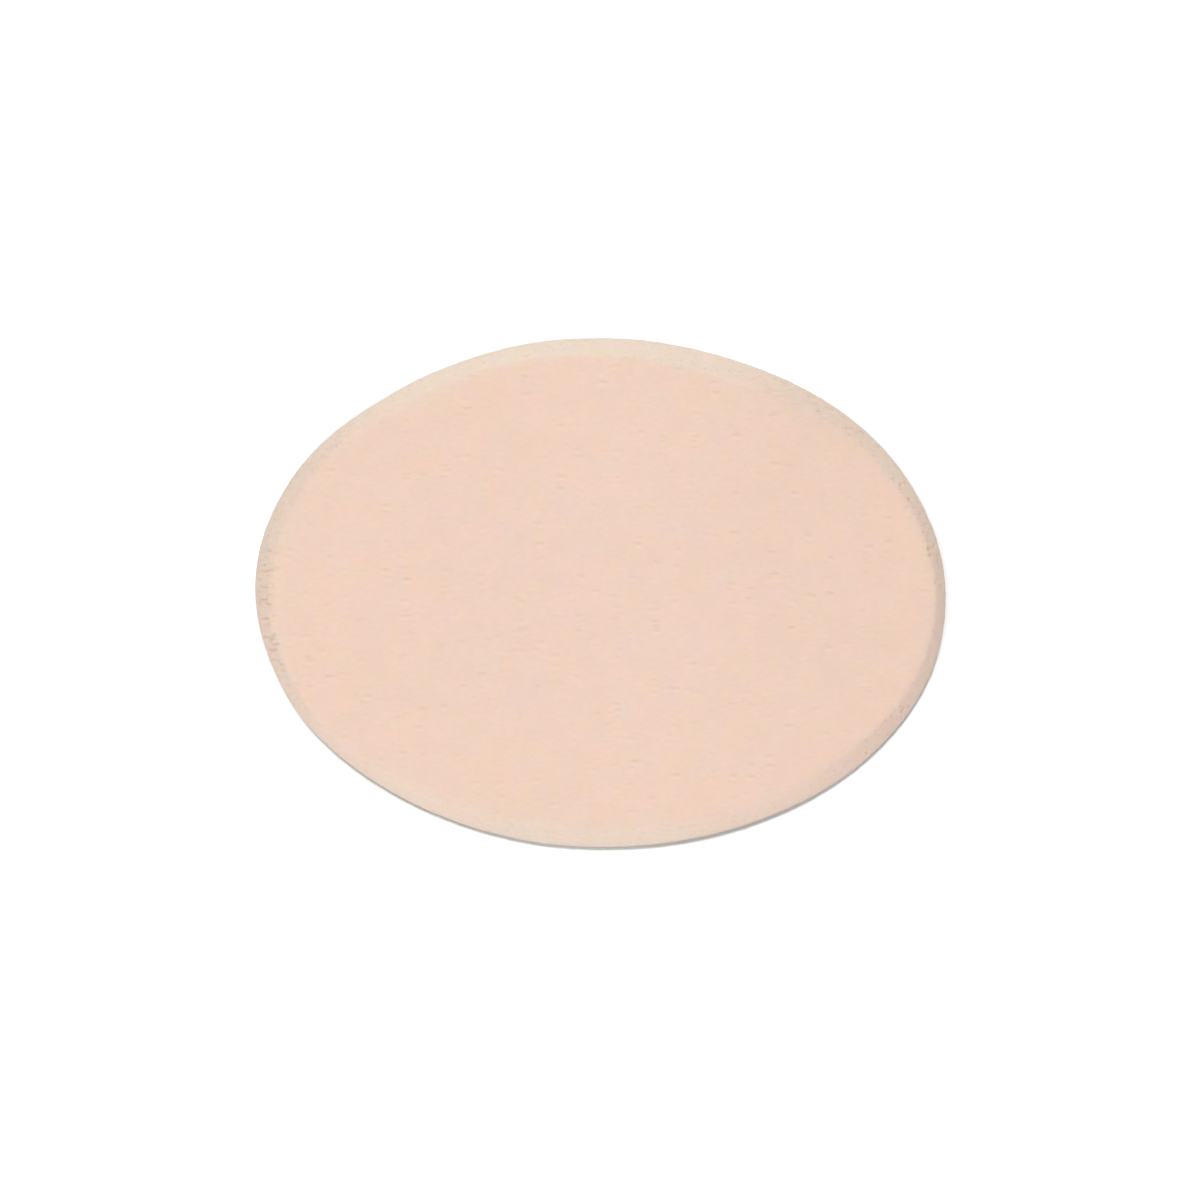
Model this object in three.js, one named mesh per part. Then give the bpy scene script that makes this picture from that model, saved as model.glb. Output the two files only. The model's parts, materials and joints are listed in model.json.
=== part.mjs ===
// Oval make-up sponge: one pad of fine-celled foam rubber, with no second piece in it.
// An oval blank is cut from a sliced sheet of foam, and its rim is then ground to a bevel
// above and a bevel below, which leaves an upright wall with rounded edges between them.
// Millimetres, +Z up. The long axis lies along X, and the origin is below the middle of the pad.
import * as THREE from 'three';

// Driving dimensions of the pad
const LENGTH = 75; // of the even oval, along X
const WIDTH = 55; // of the even oval, along Y
const THICKNESS = 8; // from one sliced face to the other

// The ground rim
const BEVEL_WIDTH_AT_SIDES = 2.2; // from the outline in to the face, halfway along a long side
const BEVEL_WIDTH_AT_ENDS = 1.5; // the same at the two ends of the oval
const WALL_FLAT = 3.4; // upright strip of the wall, at half the height
const WALL_ROUNDING = 0.4; // from that strip to the edge where the line of a bevel would meet the wall
const CREASE_ROUNDING = 0.5; // from a crease, where a bevel meets its face, to the end of its rounding

// A rim that is ground by hand isn't even. A place is in degrees round the oval, from +X
// towards +Y, spread is how far to each side of it the change runs, and amount is its most.
const OUTLINE_CHANGES = [ // amount: how far the outline moves outwards
  { place: 10, spread: 42, amount: -0.3 },
  { place: 91, spread: 23, amount: 0.2 },
  { place: 130, spread: 24, amount: -0.32 },
  { place: 172, spread: 21, amount: 0.1 },
  { place: 198, spread: 19, amount: -0.12 },
  { place: 235, spread: 29, amount: -0.22 },
  { place: 287, spread: 31, amount: -0.11 },
];
const BEVEL_CHANGES = [ // amount: how much wider the bevel is, and how much deeper
  { place: 2, spread: 46, amount: -0.32 },
  { place: 66, spread: 27, amount: 0.3 },
  { place: 105, spread: 19, amount: -0.25 },
  { place: 134, spread: 22, amount: -0.3 },
  { place: 168, spread: 27, amount: 0.5 },
  { place: 222, spread: 28, amount: -0.55 },
  { place: 246, spread: 16, amount: -0.2 },
  { place: 292, spread: 24, amount: -0.5 },
];

// Fineness of the mesh
const STATIONS = 96; // cross-sections round the rim
const ROUNDING_STEPS = 3; // steps along each rounding

const FULL_TURN = 360;

const foam = new THREE.MeshStandardMaterial({ color: 0xf0d1c0, roughness: 0.95, metalness: 0 });

// The sum of a list of changes at a place, each fading out over its spread.
function changeAt(degrees, changes) {
  let total = 0;
  for (const { place, spread, amount } of changes) {
    const ahead = THREE.MathUtils.euclideanModulo(degrees - place, FULL_TURN);
    const away = Math.min(ahead, FULL_TURN - ahead);
    total += amount * THREE.MathUtils.smootherstep(spread - away, 0, spread);
  }
  return total;
}

// A point of the ground outline, and the direction that faces straight out from it.
function outlineAt(degrees) {
  const oval = new THREE.EllipseCurve(0, 0, LENGTH / 2, WIDTH / 2);
  const along = oval.getTangent(degrees / FULL_TURN);
  const outward = new THREE.Vector2(along.y, -along.x);
  const standsOut = changeAt(degrees, OUTLINE_CHANGES);
  const point = oval.getPoint(degrees / FULL_TURN).addScaledVector(outward, standsOut);
  return { point, outward };
}

// The bevel is widest along the sides of the oval and narrowest at its two ends. Where more
// foam is ground off, the bevel is wider and deeper by the same amount, so it keeps its slope.
function bevelAt(degrees) {
  const sideness = Math.sin(THREE.MathUtils.degToRad(degrees)) ** 2;
  const evenWidth = THREE.MathUtils.lerp(BEVEL_WIDTH_AT_ENDS, BEVEL_WIDTH_AT_SIDES, sideness);
  const evenDepth = (THICKNESS - WALL_FLAT) / 2 - WALL_ROUNDING;
  const change = changeAt(degrees, BEVEL_CHANGES);
  return { width: evenWidth + change, depth: evenDepth + change };
}

// The rim's cross-section from the lower face to the upper one, as a list of points:
// x is how far in from the outline a point lies, and y is its height.
function rimSection(bevel) {
  const crease = new THREE.Vector2(bevel.width, 0);
  const edge = new THREE.Vector2(0, bevel.depth);
  const upTheBevel = edge.clone().sub(crease).normalize();
  const creaseEnd = crease.clone().addScaledVector(upTheBevel, CREASE_ROUNDING);
  const edgeStart = edge.clone().addScaledVector(upTheBevel, -WALL_ROUNDING);
  const lowerHalf = new THREE.Path()
    .moveTo(crease.x + CREASE_ROUNDING, crease.y)
    .quadraticCurveTo(crease.x, crease.y, creaseEnd.x, creaseEnd.y)
    .lineTo(edgeStart.x, edgeStart.y)
    .quadraticCurveTo(edge.x, edge.y, edge.x, edge.y + WALL_ROUNDING)
    .getPoints(ROUNDING_STEPS);
  const upperHalf = lowerHalf.toReversed().map(({ x, y }) => new THREE.Vector2(x, THICKNESS - y));
  return [...lowerHalf, ...upperHalf];
}

// The changes to the outline leave the pad a little to one side, so it goes back to the middle.
function centred(geometry) {
  geometry.computeBoundingBox();
  const middle = geometry.boundingBox.getCenter(new THREE.Vector3());
  return geometry.translate(-middle.x, -middle.y, 0);
}

// The pad as one closed surface: a cross-section at every station round the outline, each
// joined to the next, with a flat face across the first points and one across the last.
function padGeometry() {
  const vertices = [];
  const triangles = [];
  let sectionLength = 0;
  for (let station = 0; station < STATIONS; station += 1) {
    const degrees = (station * FULL_TURN) / STATIONS;
    const { point, outward } = outlineAt(degrees);
    const section = rimSection(bevelAt(degrees));
    sectionLength = section.length;
    for (const { x: inset, y: height } of section) {
      vertices.push(point.x - inset * outward.x, point.y - inset * outward.y, height);
    }
  }

  const lowerMiddle = STATIONS * sectionLength;
  const upperMiddle = lowerMiddle + 1;
  vertices.push(0, 0, 0);
  vertices.push(0, 0, THICKNESS);

  const last = sectionLength - 1;
  for (let station = 0; station < STATIONS; station += 1) {
    const here = station * sectionLength;
    const next = ((station + 1) % STATIONS) * sectionLength;
    for (let step = 0; step < last; step += 1) {
      triangles.push(here + step, next + step, next + step + 1);
      triangles.push(here + step, next + step + 1, here + step + 1);
    }
    triangles.push(lowerMiddle, next, here);
    triangles.push(upperMiddle, here + last, next + last);
  }

  const geometry = new THREE.BufferGeometry();
  geometry.setAttribute('position', new THREE.Float32BufferAttribute(vertices, 3));
  geometry.setIndex(triangles);
  geometry.computeVertexNormals();
  return centred(geometry);
}

const foamPad = new THREE.Mesh(padGeometry(), foam);
foamPad.name = 'foam_pad';

const sponge = new THREE.Group();
sponge.name = 'oval_makeup_sponge';
sponge.add(foamPad);

export default sponge;
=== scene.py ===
import json
import math

import bmesh
import bpy
import numpy as np
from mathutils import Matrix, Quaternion, Vector

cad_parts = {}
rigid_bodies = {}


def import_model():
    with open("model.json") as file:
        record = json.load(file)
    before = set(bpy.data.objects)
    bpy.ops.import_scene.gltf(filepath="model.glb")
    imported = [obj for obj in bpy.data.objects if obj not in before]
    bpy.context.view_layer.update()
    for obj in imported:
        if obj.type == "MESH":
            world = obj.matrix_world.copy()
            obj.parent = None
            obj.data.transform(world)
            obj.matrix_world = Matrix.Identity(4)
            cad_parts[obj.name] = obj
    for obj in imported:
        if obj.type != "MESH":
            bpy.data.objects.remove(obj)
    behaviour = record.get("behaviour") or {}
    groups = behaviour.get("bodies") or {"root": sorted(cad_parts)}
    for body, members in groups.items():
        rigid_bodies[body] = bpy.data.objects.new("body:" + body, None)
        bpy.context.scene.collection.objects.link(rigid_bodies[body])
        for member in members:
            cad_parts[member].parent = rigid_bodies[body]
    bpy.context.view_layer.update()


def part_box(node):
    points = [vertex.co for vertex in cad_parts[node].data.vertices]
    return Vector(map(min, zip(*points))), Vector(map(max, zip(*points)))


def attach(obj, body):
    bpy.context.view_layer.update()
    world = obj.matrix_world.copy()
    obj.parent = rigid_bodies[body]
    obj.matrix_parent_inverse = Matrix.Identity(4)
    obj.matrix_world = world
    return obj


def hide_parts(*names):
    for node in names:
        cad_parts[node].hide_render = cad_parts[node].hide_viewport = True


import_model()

padLow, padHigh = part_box("foam_pad")


def startFresh():
    bpy.ops.object.select_all(action="DESELECT")


# shader helpers: a value is a number, a colour or another node's output

def addNode(tree, kind, inputs=None, **settings):
    node = tree.nodes.new(kind)
    for name, value in settings.items():
        setattr(node, name, value)
    for name, value in (inputs or {}).items():
        if isinstance(value, bpy.types.NodeSocket):
            tree.links.new(value, node.inputs[name])
        else:
            node.inputs[name].default_value = value
    return node


def addMath(tree, operation, *values):
    inputs = dict(enumerate(values))
    return addNode(tree, "ShaderNodeMath", inputs, operation=operation).outputs[0]


def addMix(tree, share, first, second, blend="MIX"):
    inputs = {0: share, 6: first, 7: second}    # 6 and 7 are the node's colours, and 2 is its result
    return addNode(tree, "ShaderNodeMix", inputs, data_type="RGBA", blend_type=blend).outputs[2]


def addRange(tree, value, low, high, toLow=0.0, toHigh=1.0):
    inputs = {"Value": value, "From Min": low, "From Max": high, "To Min": toLow, "To Max": toHigh}
    eased = addNode(tree, "ShaderNodeMapRange", inputs, interpolation_type="SMOOTHSTEP")
    return eased.outputs["Result"]


# the studio: each level is that lamp's share of the light on the upper face, about 1 in all
studio = {
    "fill": 0.32,               # from all round, as in a white tent
    "key": 0.594,               # from overhead
    "keyLean": (-1.3, 4.6),     # degrees from straight above, towards +X and +Y
    "keyAngle": 2.4,            # degrees across
    # degrees round from +X, and level
    "softboxes": {"back_softbox": (97, 0.051), "front_softbox": (258, 0.058)},
    "softboxRise": 12,          # degrees above the floor
    "softboxSize": (0.5, 0.3),  # metres
    "softboxDistance": 0.7,     # metres
    "paper": (0.88, 0.92, 0.935, 1),    # cool, against the pink light that the pad throws on it
    "paperGlow": 0.165,         # lifts the paper to white in the picture alone
    "glowReach": 0.0020,        # metres, and it fades where the pad hangs over it this near
    "glowOpen": (0.64, 0.90),   # open share of the paper's sky, from no glow to all of it
    "floorSize": 6,             # metres
}


def seenStraight(tree):
    # 1 for what the camera sees itself, in a mirror or through glass
    path = addNode(tree, "ShaderNodeLightPath").outputs
    mirrored = addMath(tree, "MAXIMUM", path["Is Glossy Ray"], path["Is Transmission Ray"])
    return addMath(tree, "MAXIMUM", path["Is Camera Ray"], mirrored)


def makeFloor():
    startFresh()
    bpy.ops.mesh.primitive_plane_add(size=studio["floorSize"])
    floor = bpy.context.object
    floor.name = "studio_floor"
    material = bpy.data.materials.new("whitePaper")
    material.use_nodes = True
    tree = material.node_tree
    tree.nodes.remove(tree.nodes["Principled BSDF"])
    paper = addNode(tree, "ShaderNodeBsdfDiffuse", {"Color": studio["paper"]}).outputs[0]
    nearness = addNode(tree, "ShaderNodeAmbientOcclusion", {"Distance": studio["glowReach"]})
    clear = addRange(tree, nearness.outputs["AO"], *studio["glowOpen"], 0, studio["paperGlow"])
    lift = addMath(tree, "MULTIPLY", seenStraight(tree), clear)
    glow = addNode(tree, "ShaderNodeEmission", {"Strength": lift}).outputs[0]
    both = addNode(tree, "ShaderNodeAddShader", {0: paper, 1: glow}).outputs[0]
    tree.links.new(both, tree.nodes["Material Output"].inputs["Surface"])
    floor.data.materials.append(material)


def makeTent():
    world = bpy.data.worlds.new("whiteTent")
    bpy.context.scene.world = world
    world.use_nodes = True
    tree = world.node_tree
    tent = tree.nodes["Background"]
    tent.inputs["Color"].default_value = (1, 1, 1, 1)
    level = addRange(tree, seenStraight(tree), 0, 1, studio["fill"], 1.0)
    tree.links.new(level, tent.inputs["Strength"])


def makeKey():
    startFresh()
    leanX, leanY = (math.radians(lean) for lean in studio["keyLean"])
    bpy.ops.object.light_add(type="SUN", location=(0, 0, 1), rotation=(-leanY, leanX, 0))
    key = bpy.context.object
    key.name = "overhead_key"
    key.data.energy = studio["key"] * math.pi
    key.data.angle = math.radians(studio["keyAngle"])


def makeSoftboxes():
    rise = math.radians(studio["softboxRise"])
    distance = studio["softboxDistance"]
    for name, (azimuth, level) in studio["softboxes"].items():
        startFresh()
        turn = math.radians(azimuth)
        flat = math.cos(rise)
        towards = Vector((flat * math.cos(turn), flat * math.sin(turn), math.sin(rise)))
        bpy.ops.object.light_add(type="AREA", location=towards * distance)
        box = bpy.context.object
        box.name = name
        box.rotation_mode = "QUATERNION"
        box.rotation_quaternion = towards.to_track_quat("Z", "Y")
        box.data.shape = "RECTANGLE"
        box.data.size, box.data.size_y = studio["softboxSize"]
        # watts that give this level at the pad
        box.data.energy = level * (math.pi * distance) ** 2 / math.sin(rise)
        box.visible_camera = False


# the photograph's view: nearly straight down, from far away
photoView = {
    "lens": 300,                # millimetres
    "sensor": 36,               # millimetres
    "lean": 0.8,                # degrees from straight above, towards the front
    "roll": 0.79,               # degrees, which lowers the right end
    "frame": 1200,              # these three are pixels of the photograph
    "padSpan": 690,
    "padMiddle": (600.3, 592.5),
}


def makeCamera():
    startFresh()
    perPixel = (padHigh.x - padLow.x) / photoView["padSpan"]
    distance = photoView["lens"] / photoView["sensor"] * photoView["frame"] * perPixel
    lean = math.radians(photoView["lean"])
    towards = Vector((0, -math.sin(lean), math.cos(lean)))
    roll = Quaternion((0, 0, 1), math.radians(photoView["roll"]))
    turned = towards.to_track_quat("Z", "Y") @ roll
    middle = photoView["frame"] / 2
    across, down = photoView["padMiddle"]
    aim = (padLow + padHigh) / 2 + turned @ Vector((middle - across, down - middle, 0)) * perPixel
    bpy.ops.object.camera_add(location=aim + towards * distance)
    camera = bpy.context.object
    camera.rotation_mode = "QUATERNION"
    camera.rotation_quaternion = turned
    camera.data.lens = photoView["lens"]
    camera.data.sensor_width = photoView["sensor"]
    bpy.context.scene.camera = camera


# the pad, in metres and degrees: an oval cut from sliced foam, its rim ground to two bevels
padShape = {
    "length": padHigh.x - padLow.x,
    "width": padHigh.y - padLow.y,
    "thickness": padHigh.z - padLow.z,
    "outlineCorners": 256,
    "bevelAtSides": 0.0022,     # from the outline in to the face
    "bevelAtEnds": 0.0015,
    "wallFlat": 0.0038,         # upright strip at half the height
    "wallRounding": 0.0002,
    "creaseRounding": 0.00025,  # where a bevel meets its face
    "roundingSteps": 4,
    # hand-ground, so not even: degrees round the oval, reach along the rim, and how far outwards
    "outlineChanges": [
        (10, 0.0195, -0.0003),
        (91, 0.0145, 0.0002),
        (130, 0.0140, -0.00032),
        (172, 0.0100, 0.0001),
        (198, 0.0090, -0.00012),
        (235, 0.0167, -0.00022),
        (287, 0.0190, -0.00011),
    ],
    # the same for the bevel, and how much wider and deeper it is there
    "bevelChanges": [
        (66, 0.0170, 0.00030),
        (105, 0.0120, -0.00025),
        (134, 0.0130, -0.00030),
        (168, 0.0130, 0.00050),
        (222, 0.0160, -0.00055),
        (246, 0.0100, -0.00020),
        (292, 0.0150, -0.00050),
        (2, 0.0220, -0.00032),
    ],
    "sameHeight": 0.000001,     # corners this near in height are one ring
    "cell": 0.00052,            # mesh cell on the faces, a half of it on the rim
    "flatFrom": 0.97,           # upward part of a normal, from a bevel to a face
    "wallTo": 0.5,              # the same, from the wall to a bevel
    "smoothing": 2,             # times
    "softSmoothing": 60,        # more of it where the wheel left the crease soft
    # those stretches of the crease: degrees, spread, amount
    "softPlaces": [(54, 24, 1.0), (128, 24, 1.0), (175, 34, 1.0), (238, 26, 1.0), (272, 18, 0.8)],
}


def selectWhere(pad, kind, test):
    bpy.ops.mesh.select_all(action="DESELECT")
    bpy.ops.mesh.select_mode(type=kind)
    mesh = bmesh.from_edit_mesh(pad.data)
    parts = {"VERT": mesh.verts, "EDGE": mesh.edges, "FACE": mesh.faces}[kind]
    for part in parts:
        part.select_set(not part.hide and bool(test(part)))
    bmesh.update_edit_mesh(pad.data)


def nudgeRing(pad, height, radii, changes, outwards=0, upwards=0):
    # with only this ring in view, move one corner of it, and its neighbours along with it
    selectWhere(pad, "VERT", lambda corner: abs(corner.co.z - height) < padShape["sameHeight"])
    bpy.ops.mesh.hide(unselected=True)
    for place, reach, amount in changes:
        turn = math.radians(place)
        spot = Vector((radii[0] * math.cos(turn), radii[1] * math.sin(turn), height))
        facing = Vector((math.cos(turn) / radii[0], math.sin(turn) / radii[1], 0)).normalized()
        ring = [corner for corner in bmesh.from_edit_mesh(pad.data).verts if not corner.hide]
        nearest = min(ring, key=lambda corner: (corner.co - spot).length).index
        selectWhere(pad, "VERT", lambda corner: corner.index == nearest)
        bpy.ops.transform.translate(
            value=(facing * outwards + Vector((0, 0, upwards))) * amount,
            use_proportional_edit=True,
            use_proportional_connected=True,
            proportional_edit_falloff="SMOOTH",
            proportional_size=reach,
        )
    bpy.ops.mesh.reveal(select=False)


def roundRing(pad, lowest, highest, rounding):
    selectWhere(pad, "EDGE", lambda edge: all(lowest < end.co.z < highest for end in edge.verts))
    bpy.ops.mesh.bevel(offset=rounding, segments=padShape["roundingSteps"], affect="EDGES")


def shapeHalf():
    # the upper half, modelled above its own middle plane
    startFresh()
    halfLength, halfWidth = padShape["length"] / 2, padShape["width"] / 2
    halfThick = padShape["thickness"] / 2
    wallTop = padShape["wallFlat"] / 2 + padShape["wallRounding"]
    bpy.ops.mesh.primitive_circle_add(vertices=padShape["outlineCorners"], radius=halfLength)
    pad = bpy.context.object
    pad.name = "foam_sponge"
    bpy.ops.object.mode_set(mode="EDIT")
    bpy.ops.transform.resize(value=(1, halfWidth / halfLength, 1), center_override=(0, 0, 0))
    outlineRadii = (halfLength, halfWidth)
    nudgeRing(pad, 0, outlineRadii, padShape["outlineChanges"], outwards=1)
    bpy.ops.mesh.select_all(action="SELECT")
    bpy.ops.mesh.extrude_region_move(TRANSFORM_OT_translate={"value": (0, 0, wallTop)})
    bpy.ops.mesh.extrude_region_move(TRANSFORM_OT_translate={"value": (0, 0, halfThick - wallTop)})
    creaseRadii = (halfLength - padShape["bevelAtEnds"], halfWidth - padShape["bevelAtSides"])
    drawIn = (creaseRadii[0] / halfLength, creaseRadii[1] / halfWidth, 1)
    bpy.ops.transform.resize(value=drawIn, center_override=(0, 0, halfThick))
    bpy.ops.mesh.edge_face_add()
    nudgeRing(pad, halfThick, creaseRadii, padShape["bevelChanges"], outwards=-1)
    nudgeRing(pad, wallTop, outlineRadii, padShape["bevelChanges"], upwards=-1)
    margin = padShape["creaseRounding"]
    roundRing(pad, margin, halfThick - margin, padShape["wallRounding"])
    roundRing(pad, halfThick - margin, halfThick + margin, padShape["creaseRounding"])
    bpy.ops.object.mode_set(mode="OBJECT")
    return pad


def applyModifier(pad, kind, **settings):
    bpy.ops.object.modifier_add(type=kind)
    modifier = pad.modifiers[-1]
    for name, value in settings.items():
        setattr(modifier, name, value)
    bpy.ops.object.modifier_apply(modifier=modifier.name)


def cornersOf(pad):
    corners = np.zeros(len(pad.data.vertices) * 3, np.float32)
    pad.data.vertices.foreach_get("co", corners)
    return corners.reshape(-1, 3)


def uprightOf(pad):
    # how far each corner's normal is from lying flat: 1 on the faces, 0 on the wall
    normals = np.zeros(len(pad.data.vertices) * 3, np.float32)
    pad.data.vertex_normals.foreach_get("vector", normals)
    return np.abs(normals.reshape(-1, 3)[:, 2])


def smoothStep(value, start, end):
    share = np.clip((value - start) / (end - start), 0, 1)
    return share * share * (3 - 2 * share)


def degreesRound(x, y):
    return np.degrees(np.arctan2(y / padShape["width"], x / padShape["length"])) % 360


def cornerDegrees(pad):
    corners = cornersOf(pad)
    return degreesRound(corners[:, 0], corners[:, 1])


def nearPlaces(degrees, places):
    # the sum of the places' amounts, each fading out over its spread
    total = 0
    for place, spread, amount in places:
        away = np.abs((degrees - place + 180) % 360 - 180)
        total = total + amount * (1 - smoothStep(away, 0, spread))
    return np.clip(total, 0, 1)


def softnessOf(pad):
    return nearPlaces(cornerDegrees(pad), padShape["softPlaces"])


def giveWeights(pad, name, weights):
    group = pad.vertex_groups.new(name=name)
    for index, weight in enumerate(weights):
        group.add([index], float(weight), "REPLACE")


def closeAndRefine(pad):
    applyModifier(pad, "MIRROR", use_axis=(False, False, True), use_clip=True)
    bpy.ops.object.mode_set(mode="EDIT")
    bpy.ops.mesh.select_all(action="SELECT")
    bpy.ops.mesh.normals_make_consistent(inside=False)
    bpy.ops.transform.translate(value=(0, 0, padShape["thickness"] / 2))
    bpy.ops.object.mode_set(mode="OBJECT")
    applyModifier(pad, "REMESH", mode="VOXEL", voxel_size=padShape["cell"])
    bpy.ops.object.mode_set(mode="EDIT")
    selectWhere(pad, "FACE", lambda face: abs(face.normal.z) < padShape["flatFrom"])
    bpy.ops.mesh.select_more()
    bpy.ops.mesh.subdivide()
    bpy.ops.object.mode_set(mode="OBJECT")
    applyModifier(pad, "SMOOTH", iterations=padShape["smoothing"])

    giveWeights(pad, "softCrease", softnessOf(pad) * (uprightOf(pad) > padShape["wallTo"]))
    applyModifier(pad, "SMOOTH", iterations=padShape["softSmoothing"], vertex_group="softCrease")
    pad.vertex_groups.clear()


# the worked surface, in metres: how the blade and the wheel left the foam
padSurface = {
    # size of a patch, and depth
    "sliceWave": ((0.009, 0.009, 0.009), 0.00010),
    "grindWave": ((0.006, 0.006, 0.006), 0.00008),
    "grindGrain": ((0.00128, 0.0008, 0.0008), 0.00010),
    # where the wheel tore the foam: levels run from no pit to a whole one, onCrease and onBevel
    # are how much of its depth it has there, and places are degrees, spread and amount
    "pits": {
        "tornStrokes": {
            "pattern": {"pattern": "CLOUDS", "levels": (0.55, 0.78), "noise_depth": 0},
            "size": (0.0014, 0.00034, 0.0014),
            "onCrease": 0.4,
            "onBevel": 0.8,
            "places": [(187, 32, 0.8), (50, 26, 0.4), (146, 15, 0.3)],
        },
        "tornSpecks": {
            "pattern": {"pattern": "VORONOI", "levels": (0.31, 0.19)},
            "size": (0.0011, 0.0008, 0.0008),
            "onCrease": 0.2,
            "onBevel": 1.0,
            "places": [(9, 11, 1.0), (24, 14, 0.5), (322, 4, 0.6), (332, 5, 0.9)],
        },
    },
    "pitDepth": 0.00024,
    # upward part of a normal, over which one surface gives way to the next
    "bevelStart": (0.45, 0.65),     # wall to bevel
    "creaseStart": (0.60, 0.80),    # bevel to crease
    "creaseEnd": (0.97, 0.998),     # crease to face
    "tornFrom": 0.2,            # least amount of pits that gets a finer mesh
    "tornTilt": (0.35, 0.985),  # and the upward parts of a normal between which it does
    # where the rim is soiled: degrees, spread, amount
    "soiledPlaces": [(15, 18, 0.12), (48, 26, 0.16), (148, 20, 0.08), (330, 18, 0.08)],
    # painted sheen round the rim, paler where the softboxes light it: degrees, share
    "paintedSheenRound": [
        (0, 0.15), (45, 0.7), (100, 0.95), (130, 0.9), (180, 0.35),
        (235, 0.45), (255, 0.7), (270, 0.6), (310, 0.0),
    ],
    "groundTilt": 40,           # degrees from level, where the face has become all rim
    "rimBlur": 36,              # times that the edge of the rim's colour is spread
}


def giveAttribute(pad, name, values):
    attribute = pad.data.attributes.new(name, "FLOAT", "POINT")
    attribute.data.foreach_set("value", np.asarray(values, np.float32))


def makeTexture(name, pattern="CLOUDS", levels=(0, 1), **settings):
    # black at the first level of the pattern and white at the second
    texture = bpy.data.textures.new(name, type=pattern)
    texture.noise_scale = 1
    for setting, value in settings.items():
        setattr(texture, setting, value)
    texture.use_color_ramp = True
    ends = texture.color_ramp.elements
    ends[0].position, ends[1].position = sorted(levels)
    black, white = (0, 1) if levels[0] < levels[1] else (1, 0)
    ends[black].color = (0, 0, 0, 1)
    ends[white].color = (1, 1, 1, 1)
    return texture


def displace(pad, texture, size, depth, middle=0.5, group=""):
    # the texture's unit is one patch, so the empty that holds it is a patch in size
    bpy.ops.object.empty_add()
    ruler = bpy.context.object
    ruler.scale = size
    bpy.context.view_layer.update()
    startFresh()
    pad.select_set(True)
    bpy.context.view_layer.objects.active = pad
    applyModifier(
        pad,
        "DISPLACE",
        texture=texture,
        texture_coords="OBJECT",
        texture_coords_object=ruler,
        vertex_group=group,
        mid_level=middle,
        strength=depth,
    )
    bpy.data.objects.remove(ruler)


def refineTorn(pad):
    # the torn stretches get a finer mesh, for their pits
    places = [place for pits in padSurface["pits"].values() for place in pits["places"]]
    steepest, flattest = padSurface["tornTilt"]

    def isTorn(face):
        middle = face.calc_center_median()
        near = nearPlaces(degreesRound(middle.x, middle.y), places)
        return near > padSurface["tornFrom"] and steepest < abs(face.normal.z) < flattest

    bpy.ops.object.mode_set(mode="EDIT")
    selectWhere(pad, "FACE", isTorn)
    bpy.ops.mesh.subdivide()
    bpy.ops.object.mode_set(mode="OBJECT")


def blurWeights(pad, name):
    # a copy of a vertex group's weights, spread over their neighbours
    pad.vertex_groups.active_index = pad.vertex_groups[name].index
    bpy.ops.object.vertex_group_copy()
    bpy.ops.object.mode_set(mode="EDIT")
    bpy.ops.mesh.select_all(action="SELECT")
    bpy.ops.object.vertex_group_smooth(group_select_mode="ACTIVE", repeat=padSurface["rimBlur"])
    bpy.ops.object.mode_set(mode="OBJECT")
    copied = pad.vertex_groups.active.index
    weights = np.zeros(len(pad.data.vertices), np.float32)
    for corner in pad.data.vertices:
        weights[corner.index] = sum(held.weight for held in corner.groups if held.group == copied)
    return weights


def groundOf(pad):
    # 1 on the ground rim, 0 on the sliced faces
    tilt = np.degrees(np.arccos(np.clip(uprightOf(pad), 0, 1)))
    return np.clip(tilt / padSurface["groundTilt"], 0, 1)


def markRim(pad):
    # the rim's colour fades out into the face, most where the crease is soft
    ground = groundOf(pad)
    giveWeights(pad, "ground", ground)
    spread = blurWeights(pad, "ground")
    pad.vertex_groups.clear()
    giveAttribute(pad, "groundRim", ground + softnessOf(pad) * (spread - ground))
    # and a painted sheen round the rim, strongest where the softboxes light it
    places, shares = zip(*padSurface["paintedSheenRound"])
    giveAttribute(pad, "paintedSheen", np.interp(cornerDegrees(pad), places, shares, period=360))
    giveAttribute(pad, "soiled", nearPlaces(cornerDegrees(pad), padSurface["soiledPlaces"]))


def workSurface(pad):
    upright = uprightOf(pad)
    ground = groundOf(pad)
    begun = smoothStep(upright, *padSurface["creaseStart"])
    ended = smoothStep(upright, *padSurface["creaseEnd"])
    crease = begun * (1 - ended)
    offTheWall = smoothStep(upright, *padSurface["bevelStart"])
    giveWeights(pad, "ground", ground)
    for name, pits in padSurface["pits"].items():
        tearable = offTheWall * np.maximum(pits["onCrease"] * crease, pits["onBevel"] * ground)
        giveWeights(pad, name, tearable * nearPlaces(cornerDegrees(pad), pits["places"]))

    sliceWave = makeTexture("sliceWave", noise_depth=0)
    grindWave = makeTexture("grindWave", noise_depth=0)
    grindGrain = makeTexture("grindGrain", noise_depth=2)
    displace(pad, sliceWave, *padSurface["sliceWave"], middle=1)
    displace(pad, grindWave, *padSurface["grindWave"], group="ground")
    displace(pad, grindGrain, *padSurface["grindGrain"], group="ground")
    before = cornersOf(pad)
    for name, pits in padSurface["pits"].items():
        texture = makeTexture(name, **pits["pattern"])
        displace(pad, texture, pits["size"], -padSurface["pitDepth"], middle=0, group=name)
    sunk = np.linalg.norm(cornersOf(pad) - before, axis=1)

    pad.vertex_groups.clear()
    # how far each corner sank into a pit, which the material turns into painted shade
    giveAttribute(pad, "tornDepth", np.clip(sunk / padSurface["pitDepth"], 0, 1))
    bpy.ops.object.shade_smooth()


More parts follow.
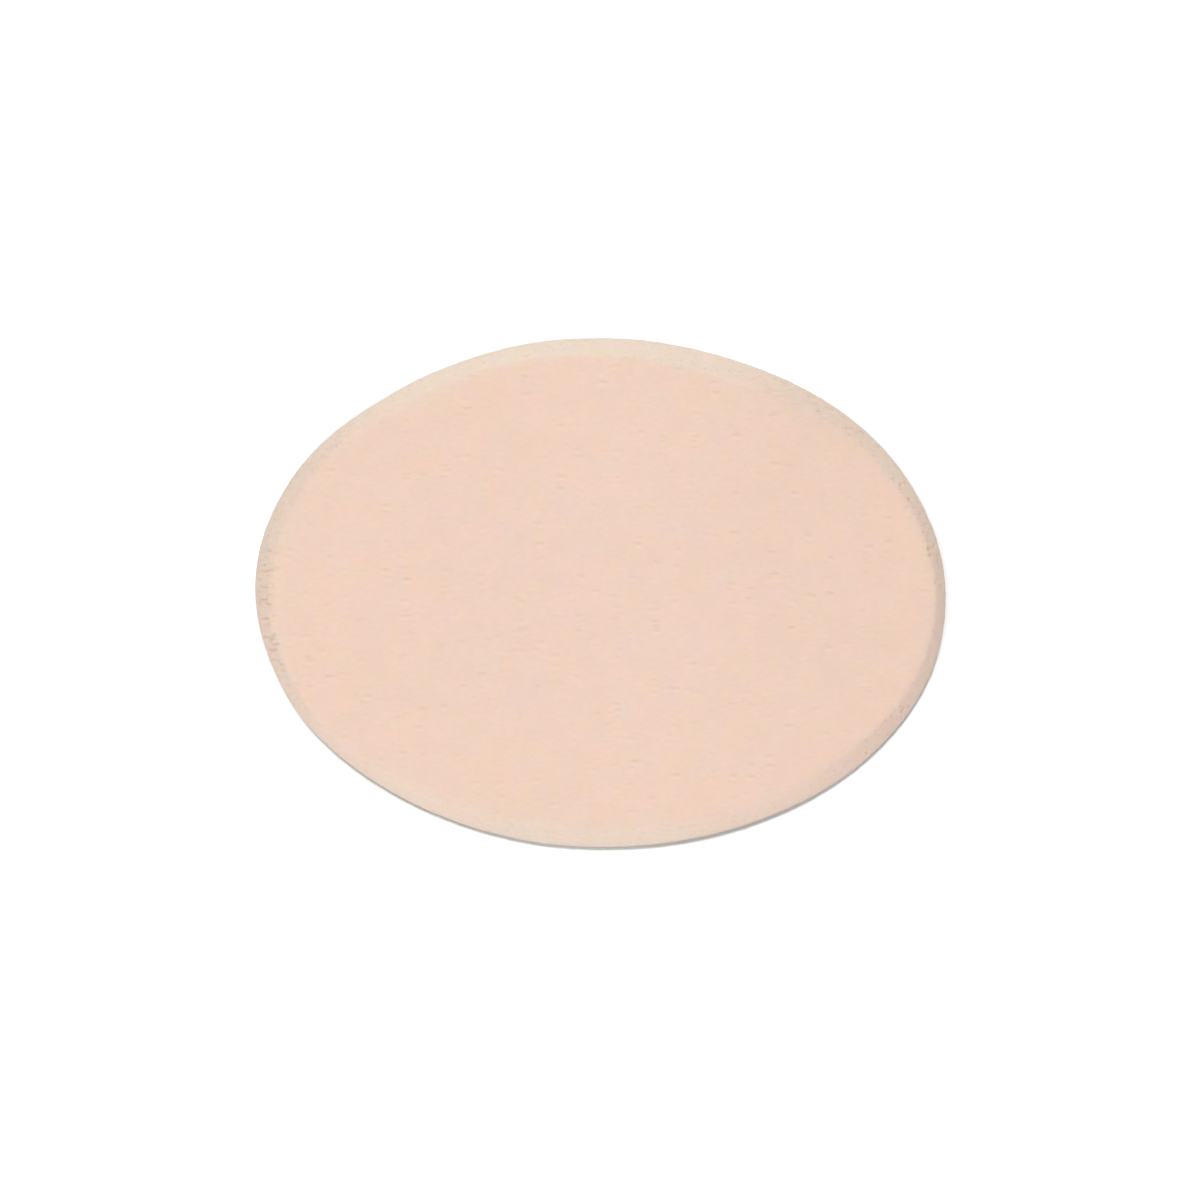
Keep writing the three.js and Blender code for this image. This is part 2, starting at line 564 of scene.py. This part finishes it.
def settleInBox(pad):
    # smoothing drew the foam in a little, so it goes back to the size and place of its solid
    corners = cornersOf(pad)
    low, high = Vector(corners.min(axis=0)), Vector(corners.max(axis=0))
    spread = [wanted / found for wanted, found in zip(padHigh - padLow, high - low)]
    bpy.ops.object.mode_set(mode="EDIT")
    bpy.ops.mesh.select_all(action="SELECT")
    bpy.ops.transform.resize(value=spread, center_override=low)
    bpy.ops.transform.translate(value=padLow - low)
    bpy.ops.object.mode_set(mode="OBJECT")


# the foam's colours are linear, its patterns are counted for each metre, and pairs of numbers
# are the levels of a pattern, from none of its effect to all of it
foamLook = {
    "face": (0.8720, 0.6378, 0.5283, 1),
    "middleTint": (0.994, 1, 1, 1),     # the face is warmer towards its edge
    "edgeTint": (1, 0.997, 0.976, 1),
    "warmEdge": (0.3, 0.95),            # shares of the way from the middle out
    # the rim's own pink, and the same paler with painted sheen where the softboxes light it
    "pinkRim": (0.836, 0.633, 0.524, 1),
    "sheenLitRim": (0.806, 0.670, 0.549, 1),
    # the colour of soiled foam on the rim, and of painted shade in the torn pits
    "soilAndPitShade": (0.600, 0.420, 0.310, 1),
    "roughness": 0.92,
    "specular": 0.25,
    "sheen": 0.10,
    "sheenRoughness": 0.45,
    "pitPaintedShade": 0.55,          # how much of its painted shade a whole pit has
    "drift": (70, 70, 70),      # slow change of shade across the sheet
    "driftLevels": (0.3, 0.7),
    "driftDepth": 0.006,
    "paintedEndShade": (-0.004, 0.034),     # metres along X, over which painted shade darkens the sheet
    "paintedEndShadeDepth": 0.026,
    "mottle": (420, 420, 420),  # patches of pink and peach
    "mottleLevels": (0.32, 0.68),
    "mottleDepth": {"Red": 0.015, "Green": 0.012, "Blue": 0.030},
    "grain": (1200, 2400, 2400),    # foam cells, drawn out along X by the blade
    "grainLevels": (0.25, 0.75),
    "grainDepth": 0.016,
    "grainOnFace": 0.4,         # share of the rim's relief
    "cellEdge": (0.42, 0.05),   # distance from the middle of an opened cell
    "slit": (480, 2200, 2200),  # cells that the blade dragged open, darkened by painted shade
    "slitLevels": (0.25, 1.0),
    "slitPatch": (700, 700, 700),   # where it dragged more of them
    "slitPatchLevels": (0.37, 0.60),
    "slitPaintedShade": 0.058,
    # a painted highlight in front of each slit: how far in front, and how bright
    "highlightOffset": 0.00040,       # metres
    "paintedHighlightRise": 0.056,
    "slitOnRim": 0.3,           # share of them that the grinding left
    "pore": (3000, 3000, 3000),     # cells that the wheel opened, most of them on the rim, with painted shade
    "poreLevels": (0.3, 0.9),
    "porePaintedShade": 0.045,
    "poreOnFace": 0.2,
    "bump": 0.00012,            # metres
    "bumpStrength": 0.5,
}


def foamMaterial():
    material = bpy.data.materials.new("peachFoam")
    material.use_nodes = True
    tree = material.node_tree
    skin = tree.nodes["Principled BSDF"]
    place = addNode(tree, "ShaderNodeTexCoord").outputs["Object"]
    ground = addNode(tree, "ShaderNodeAttribute", attribute_name="groundRim").outputs["Fac"]
    paintedSheen = addNode(tree, "ShaderNodeAttribute", attribute_name="paintedSheen").outputs["Fac"]
    soiled = addNode(tree, "ShaderNodeAttribute", attribute_name="soiled").outputs["Fac"]
    torn = addNode(tree, "ShaderNodeAttribute", attribute_name="tornDepth").outputs["Fac"]

    def counted(counts, offset=0):
        shift = (0, offset * counts[1], 0)
        inputs = {"Vector": place, "Location": shift, "Scale": counts}
        return addNode(tree, "ShaderNodeMapping", inputs).outputs[0]

    def noise(counts, kind="Fac"):
        inputs = {"Vector": counted(counts), "Scale": 1.0}
        return addNode(tree, "ShaderNodeTexNoise", inputs).outputs[kind]

    def around(pattern, levels, depth):
        return addRange(tree, pattern, *levels, 1 - depth, 1 + depth)

    def openCells(counts, levels, amount, offset=0):
        shifted = counted(counts, offset)
        cells = addNode(tree, "ShaderNodeTexVoronoi", {"Vector": shifted, "Scale": 1.0}).outputs
        chance = addNode(tree, "ShaderNodeSeparateColor", {"Color": cells["Color"]}).outputs["Red"]
        inside = addRange(tree, cells["Distance"], *foamLook["cellEdge"])
        opened = addMath(tree, "MULTIPLY", inside, addRange(tree, chance, *levels))
        return addMath(tree, "MULTIPLY", opened, amount)

    def fromFaceToRim(onFace, onRim):
        return addMath(tree, "MULTIPLY_ADD", ground, onRim - onFace, onFace)

    grain = noise(foamLook["grain"])
    dragged = addRange(tree, noise(foamLook["slitPatch"]), *foamLook["slitPatchLevels"])
    slitAmount = addMath(tree, "MULTIPLY", dragged, fromFaceToRim(1, foamLook["slitOnRim"]))
    # painted shade in the slits, which also sink in the bump, and a painted highlight in front of
    # each
    slit = openCells(foamLook["slit"], foamLook["slitLevels"], slitAmount)
    paintedHighlight = openCells(foamLook["slit"], foamLook["slitLevels"], slitAmount, foamLook["highlightOffset"])
    poreAmount = fromFaceToRim(foamLook["poreOnFace"], 1)
    pore = openCells(foamLook["pore"], foamLook["poreLevels"], poreAmount)

    fromMiddle = counted((2 / padShape["length"], 2 / padShape["width"], 0))
    wayOut = addNode(tree, "ShaderNodeVectorMath", {0: fromMiddle}, operation="LENGTH")
    warmth = addRange(tree, wayOut.outputs["Value"], *foamLook["warmEdge"])
    tint = addMix(tree, warmth, foamLook["middleTint"], foamLook["edgeTint"])
    face = addMix(tree, 1.0, foamLook["face"], tint, "MULTIPLY")
    # painted sheen: the rim pales to cream where the softboxes light it
    cleanRim = addMix(tree, paintedSheen, foamLook["pinkRim"], foamLook["sheenLitRim"])
    rim = addMix(tree, soiled, cleanRim, foamLook["soilAndPitShade"])
    withRim = addMix(tree, ground, face, rim)
    # painted shade in the torn pits, deeper where they sink further
    pitShadeShare = addMath(tree, "MULTIPLY", torn, foamLook["pitPaintedShade"])
    withPits = addMix(tree, pitShadeShare, withRim, foamLook["soilAndPitShade"])
    patches = {"Color": noise(foamLook["mottle"], "Color")}
    channels = addNode(tree, "ShaderNodeSeparateColor", patches).outputs
    tints = {
        name: around(channels[name], foamLook["mottleLevels"], depth)
        for name, depth in foamLook["mottleDepth"].items()
    }
    mottle = addNode(tree, "ShaderNodeCombineColor", tints).outputs[0]
    mottled = addMix(tree, 1.0, withPits, mottle, "MULTIPLY")

    along = addNode(tree, "ShaderNodeSeparateXYZ", {"Vector": place}).outputs["X"]
    # painted shade, darkening the sheet towards its +X end; the slow drift below is the sheet's own
    # tone
    endPaintedShade = addRange(tree, along, *foamLook["paintedEndShade"], 1, 1 - foamLook["paintedEndShadeDepth"])
    driftShade = around(noise(foamLook["drift"]), foamLook["driftLevels"], foamLook["driftDepth"])
    grainShade = around(grain, foamLook["grainLevels"], foamLook["grainDepth"])
    driftAndPaintedShade = addMath(tree, "MULTIPLY", endPaintedShade, driftShade)
    cellShade = addMath(tree, "MULTIPLY", driftAndPaintedShade, grainShade)
    # painted shade in the slits, and a painted highlight in front of each
    slitShade = addMath(tree, "MULTIPLY_ADD", slit, -foamLook["slitPaintedShade"], cellShade)
    withPaintedHighlight = addMath(tree, "MULTIPLY_ADD", paintedHighlight, foamLook["paintedHighlightRise"], slitShade)
    # painted shade in the open pores
    shade = addMath(tree, "MULTIPLY_ADD", pore, -foamLook["porePaintedShade"], withPaintedHighlight)
    shades = {"Red": shade, "Green": shade, "Blue": shade}
    grey = addNode(tree, "ShaderNodeCombineColor", shades).outputs[0]
    colour = addMix(tree, 1.0, mottled, grey, "MULTIPLY")
    tree.links.new(colour, skin.inputs["Base Color"])

    relief = addMath(tree, "MULTIPLY", grain, fromFaceToRim(foamLook["grainOnFace"], 1))
    height = addMath(tree, "SUBTRACT", relief, addMath(tree, "ADD", slit, pore))
    bumps = {"Height": height, "Strength": foamLook["bumpStrength"], "Distance": foamLook["bump"]}
    bump = addNode(tree, "ShaderNodeBump", bumps)
    tree.links.new(bump.outputs[0], skin.inputs["Normal"])
    skin.inputs["Roughness"].default_value = foamLook["roughness"]
    skin.inputs["Specular IOR Level"].default_value = foamLook["specular"]
    skin.inputs["Sheen Weight"].default_value = foamLook["sheen"]
    skin.inputs["Sheen Roughness"].default_value = foamLook["sheenRoughness"]
    return material


bpy.context.scene.view_settings.view_transform = "Standard"
makeCamera()
makeFloor()
makeTent()
makeKey()
makeSoftboxes()
print("studio ready")

sponge = shapeHalf()
closeAndRefine(sponge)
markRim(sponge)
refineTorn(sponge)
print("pad shaped:", len(sponge.data.polygons), "faces")
workSurface(sponge)
settleInBox(sponge)
sponge.data.materials.append(foamMaterial())
print("surface worked")

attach(sponge, "root")
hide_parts("foam_pad")
print("sponge set in the frame")
